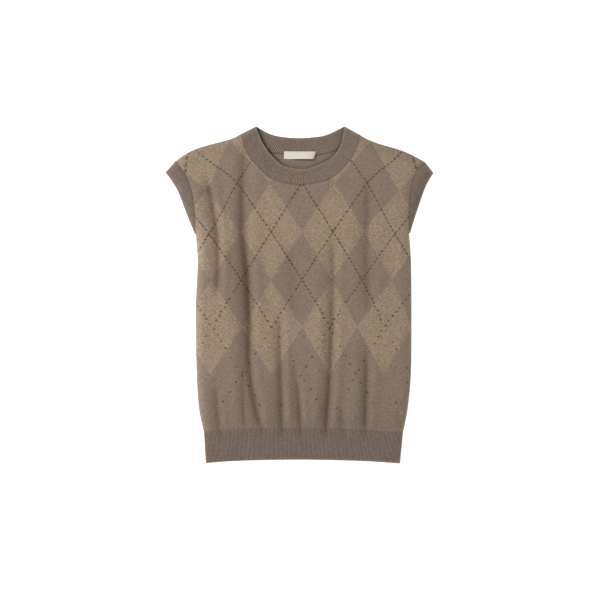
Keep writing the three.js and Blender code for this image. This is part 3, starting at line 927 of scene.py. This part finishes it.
class VestSizes(bpy.types.PropertyGroup):
    """Sizes of the cloth that a user may change"""

    wall: FloatProperty(
        name="Wall", description="Thickness of the knitted cloth", default=2.4 * MM, unit="LENGTH")
    gap: FloatProperty(
        name="Gap", description="Gap between two layers", default=0.3 * MM, unit="LENGTH")
    seam: FloatProperty(
        name="Seam", description="Gap of two pieces sewn together", default=0.03 * MM, unit="LENGTH")
    loft: FloatProperty(
        name="Loft", description="Hollow between front and back", default=6.5 * MM, unit="LENGTH")
    rib_height: FloatProperty(
        name="Rib height", description="From furrow to crest", default=1.0 * MM, unit="LENGTH")
    rib_pitch: FloatProperty(
        name="Rib pitch", description="Length of map for one rib", default=2.5 * MM, unit="LENGTH")
    stitch_width: FloatProperty(
        name="Stitch width", description="Width of a wale", default=1.7 * MM, unit="LENGTH")
    stitch_height: FloatProperty(
        name="Stitch height", description="Height of a course", default=1.3 * MM, unit="LENGTH")
    fold_radius: FloatProperty(
        name="Fold", description="Reach of the curve at a fold", default=2.6 * MM, unit="LENGTH")
    edge_radius: FloatProperty(
        name="Edge", description="Reach of the curve at an edge", default=1.2 * MM, unit="LENGTH")


class VestColours(bpy.types.PropertyGroup):
    """Colours of the yarns and of the label"""

    taupe: FloatVectorProperty(
        name="Taupe", description="Ground yarn", subtype="COLOR", default=linear("#8a796a"))
    sand: FloatVectorProperty(
        name="Sand", description="Yarn of the light diamonds", subtype="COLOR", default=linear("#998671"))
    dash: FloatVectorProperty(
        name="Dashes", description="Yarn of the broken lines", subtype="COLOR", default=linear("#5a4a3e"))
    rib: FloatVectorProperty(
        name="Rib", description="Yarn of the ribbed bands", subtype="COLOR", default=linear("#847467"))
    label: FloatVectorProperty(
        name="Label", description="Cream of the label's tape", subtype="COLOR", default=linear("#e0d8cb"))


def chosen(scene):
    """The scene's sizes and colours."""
    return scene.vest_sizes, scene.vest_colours


class VEST_OT_front_panel(bpy.types.Operator):
    """Makes the front panel with its diamonds and creases"""

    bl_idname = "vest.front_panel"
    bl_label = "Front panel"

    def execute(self, context):
        sizes, colours = chosen(context.scene)
        plan, to_fold, to_seam = body_panel(NECK_FRONT_SEAM, FRONT_STEPS)
        base = front_top(plan, sizes)
        seam = fallen(to_seam, sizes.edge_radius, sizes.wall * SEAM_DROP)
        fold = fallen(to_fold, sizes.fold_radius, sizes.wall * FOLD_DROP)
        top = base - np.maximum(fold, seam)
        low = np.minimum(base - sizes.wall, top - THINNEST)
        # Painted shade in the creases, low down, in the seams and on the shoulders; painted highlights at
        # the sides
        down = (LOW_SHADE_TOP - plan[..., 1] / MM) / LOW_SHADE_SPAN
        shade = crease_shade(plan) + LOW_SHADE * ease(down)
        for rows in (ARMHOLE_LEFT, ARMHOLE_RIGHT, NECK_FRONT_SEAM):
            shade = shade + line_shade(plan, along(rows), SEAM_REACH, SEAM_SHADE)
        for rows in (SIDE_LEFT, SIDE_RIGHT):
            side = along(rows)
            shade = shade - line_shade(plan, side, RIM_REACH, RIM_LIGHT)
            shade = shade - line_shade(plan, side, SIDE_REACH, SIDE_LIGHT)
        for rows in (SHOULDER_LEFT, SHOULDER_RIGHT):
            shade = shade + line_shade(plan, along(rows), SIDE_REACH, SHOULDER_SHADE)
        piece = shell("front_panel", plan, top, low, plan, shade, diamond_place(plan))
        finish = material("merino_diamond_knit", diamond_wool, sizes, colours)
        settle(piece, "body_front", finish)
        return {"FINISHED"}


def diamond_place(plan):
    """Each point's place in the pattern: (c + r)/2, (c − r)/2 and the count of dashes.

    c counts steps from the middle line, each as wide as the table says at that height, and r
    counts rows up the front.
    """
    x, y = plan[..., 0] / MM - DIAMOND_MIDDLE, plan[..., 1] / MM
    table = DIAMOND_ROWS
    left, right = (np.interp(y, table["y"], table[side]) for side in ("left", "right"))
    c = x / np.where(x < 0, left, right)
    drop, tip = (
        np.interp(y, low["y"], low["drop"]) * ease((np.abs(c) - low["from"]) / low["over"])
        for low in (DIAMOND_DROP, DIAMOND_TIP)
    )
    y = y + drop + tip
    r = np.interp(y, table["y"], table["row"])
    above, below = y - table["y"][-1], y - table["y"][0]
    r = np.where(above > 0, table["row"][-1] + above / ROW_ABOVE, r)
    r = np.where(below < 0, table["row"][0] + below / ROW_BELOW, r)
    rows = np.linspace(*DASH_ROWS)
    dashes = np.cumsum(np.interp(rows, DASHES["row"], DASHES["count"])) * (rows[1] - rows[0])
    return np.stack([(c + r) / 2, (c - r) / 2, np.interp(r, rows, dashes)], axis=-1)


class VEST_OT_back_panel(bpy.types.Operator):
    """Makes the plain back panel, flat where it rests"""

    bl_idname = "vest.back_panel"
    bl_label = "Back panel"

    def execute(self, context):
        sizes, colours = chosen(context.scene)
        plan, to_fold, to_seam = body_panel(NECK_BACK_SEAM, BACK_STEPS)
        seam = fallen(to_seam, sizes.edge_radius, sizes.wall * SEAM_DROP)
        low = fallen(to_fold, sizes.fold_radius, sizes.wall * FOLD_DROP)
        top = np.maximum(sizes.wall - seam, low + THINNEST)
        # Painted shade all over the inside, under the neck's front edge and in its seam, and the label's
        # painted shadow
        shade = INSIDE_SHADE + neck_shade(plan)
        shade = shade + line_shade(plan, along(NECK_BACK_SEAM), SEAM_REACH, NECK_SEAM_SHADE)
        shade = shade + line_shade(plan, np.array(LABEL_SHADOW_LINE) * MM, SEAM_REACH, LABEL_SHADE)
        piece = shell("back_panel", plan, top, low, plan, shade)
        finish = material("merino_plain_knit", plain_wool, sizes, colours)
        settle(piece, "body_back", finish)
        return {"FINISHED"}


class VEST_OT_hem(bpy.types.Operator):
    """Makes the hem's ribbed band, front and back"""

    bl_idname = "vest.hem"
    bl_label = "Hem rib"

    def execute(self, context):
        sizes, colours = chosen(context.scene)
        front_band("hem_rib_face", HEM_SEAM, HEM_EDGE, HEM_RIBS, HEM_ROWS[0],
                   "hem_rib_front", sizes, colours, groove=HEM_GROOVE)
        back_band("hem_rib_under", HEM_SEAM, HEM_EDGE, HEM_RIBS, HEM_COLUMNS, HEM_ROWS[1],
                  "hem_rib_back", sizes, colours)
        return {"FINISHED"}


class VEST_OT_neckband(bpy.types.Operator):
    """Makes the neck's ribbed band, front and back"""

    bl_idname = "vest.neckband"
    bl_label = "Neckband"

    def execute(self, context):
        sizes, colours = chosen(context.scene)
        front_band("neck_rib_face", NECK_FRONT_SEAM, NECK_FRONT_EDGE, NECK_FRONT_RIBS, NECK_ROWS[0],
                   "neckband_front", sizes, colours, NECK_RIM_LIGHT)
        back_band("neck_rib_under", NECK_BACK_SEAM, NECK_BACK_EDGE, NECK_BACK_RIBS,
                  NECK_BACK_RIBS * RIB_STEPS, NECK_ROWS[1], "neckband_back", sizes, colours,
                  raised=True)
        return {"FINISHED"}


class VEST_OT_armhole_bands(bpy.types.Operator):
    """Makes the armholes' ribbed bands, front and back"""

    bl_idname = "vest.armhole_bands"
    bl_label = "Armhole bands"

    def execute(self, context):
        sizes, colours = chosen(context.scene)
        for side, seam, edge in (
            ("left", ARMHOLE_LEFT, ARMHOLE_EDGE_LEFT),
            ("right", ARMHOLE_RIGHT, ARMHOLE_EDGE_RIGHT),
        ):
            node_name = f"armhole_band_{side}"
            front_band(f"armhole_rib_{side}_face", seam, edge, ARMHOLE_RIBS, ARMHOLE_ROWS[0],
                       f"{node_name}_front", sizes, colours)
            back_band(f"armhole_rib_{side}_under", seam, edge, ARMHOLE_RIBS, ARMHOLE_COLUMNS,
                      ARMHOLE_ROWS[1], f"{node_name}_back", sizes, colours)
        return {"FINISHED"}


class VEST_OT_label(bpy.types.Operator):
    """Makes the bare label inside the back of the neck"""

    bl_idname = "vest.label"
    bl_label = "Label"

    def execute(self, context):
        sizes, colours = chosen(context.scene)
        u, v = (stops(count, span) for count, span in zip(LABEL_STEPS, LABEL_SPAN))
        bottom, top_edge = along(LABEL_BOTTOM, u), along(LABEL_TOP, u)
        plan = bottom[None] + (top_edge - bottom)[None] * v[:, None, None]
        hang = 1 - v[:, None]
        turned = ease((u[None] - TURN_FROM) / TURN_OVER)
        low = sizes.wall + sizes.gap + LABEL_HANG * hang * ease(u[None] * HANG_OVER)
        low = low - TURN_DEPTH * turned * hang
        # Painted shade on the turned end and towards it
        shade = TURN_SHADE * turned + END_SHADE * ease((u[None] - END_FROM) / END_OVER)
        shade = np.broadcast_to(shade, low.shape)
        piece = shell("bare_label", plan, low + LABEL_WALL, low, plan, shade)
        finish = material("woven_cotton_tape", label_tape, colours)
        settle(piece, "label", finish)
        return {"FINISHED"}


class VEST_OT_stage(bpy.types.Operator):
    """Makes the pale floor, the soft light and the camera straight above"""

    bl_idname = "vest.stage"
    bl_label = "Stage"

    def execute(self, context):
        scene = context.scene
        mesh = bpy.data.meshes.new("floor")
        corners = [(-1, -1), (1, -1), (1, 1), (-1, 1)]
        points = [(x * FLOOR_HALF, y * FLOOR_HALF, -FLOOR_DROP) for x, y in corners]
        mesh.from_pydata(points, [], [(0, 1, 2, 3)])
        floor = bpy.data.objects.new("floor", mesh)
        scene.collection.objects.link(floor)
        mesh.materials.append(material("matt_white_card", white_card))

        world = bpy.data.worlds.new("studio")
        world.use_nodes = True
        world.node_tree.nodes.clear()
        glow = node(world.node_tree, "Background", {"Color": (1, 1, 1, 1), "Strength": WORLD_GLOW})
        node(world.node_tree, "OutputWorld", {"Surface": glow})
        scene.world = world

        # A large window at the left and a little to the far side, which fades across the vest
        lamp = bpy.data.lights.new("window", "AREA")
        lamp.shape = "DISK"
        lamp.size = LAMP_SIZE
        lamp.energy = LAMP_POWER
        key = bpy.data.objects.new("window", lamp)
        key.location = LAMP_PLACE
        key.rotation_euler = [math.radians(turn) for turn in LAMP_TURN]
        scene.collection.objects.link(key)

        lens = bpy.data.cameras.new("camera")
        lens.lens = CAMERA_LENS
        lens.sensor_width = CAMERA_SENSOR
        camera = bpy.data.objects.new("camera", lens)
        camera.location = CAMERA_PLACE
        scene.collection.objects.link(camera)
        scene.camera = camera
        scene.view_settings.view_transform = "Standard"
        return {"FINISHED"}


class VEST_PT_parts(bpy.types.Panel):
    """Lists the parts of the vest and their sizes"""

    bl_idname = "VEST_PT_parts"
    bl_label = "Sweater vest"
    bl_space_type = "VIEW_3D"
    bl_region_type = "UI"
    bl_category = "Vest"

    def draw(self, context):
        for group in (context.scene.vest_sizes, context.scene.vest_colours):
            for name in group.__annotations__:
                self.layout.prop(group, name)
        for made in OPERATORS:
            self.layout.operator(made.bl_idname)


OPERATORS = (
    VEST_OT_stage, VEST_OT_back_panel, VEST_OT_front_panel, VEST_OT_hem, VEST_OT_neckband,
    VEST_OT_armhole_bands, VEST_OT_label,
)
CLASSES = (VestSizes, VestColours, *OPERATORS, VEST_PT_parts)


def register():
    for made in CLASSES:
        bpy.utils.register_class(made)
    bpy.types.Scene.vest_sizes = PointerProperty(type=VestSizes)
    bpy.types.Scene.vest_colours = PointerProperty(type=VestColours)


def unregister():
    del bpy.types.Scene.vest_sizes
    del bpy.types.Scene.vest_colours
    for made in reversed(CLASSES):
        bpy.utils.unregister_class(made)


def main():
    register()
    bpy.ops.vest.stage()
    bpy.ops.vest.back_panel()
    bpy.ops.vest.front_panel()
    bpy.ops.vest.hem()
    bpy.ops.vest.neckband()
    bpy.ops.vest.armhole_bands()
    bpy.ops.vest.label()


if __name__ == "__main__":
    main()
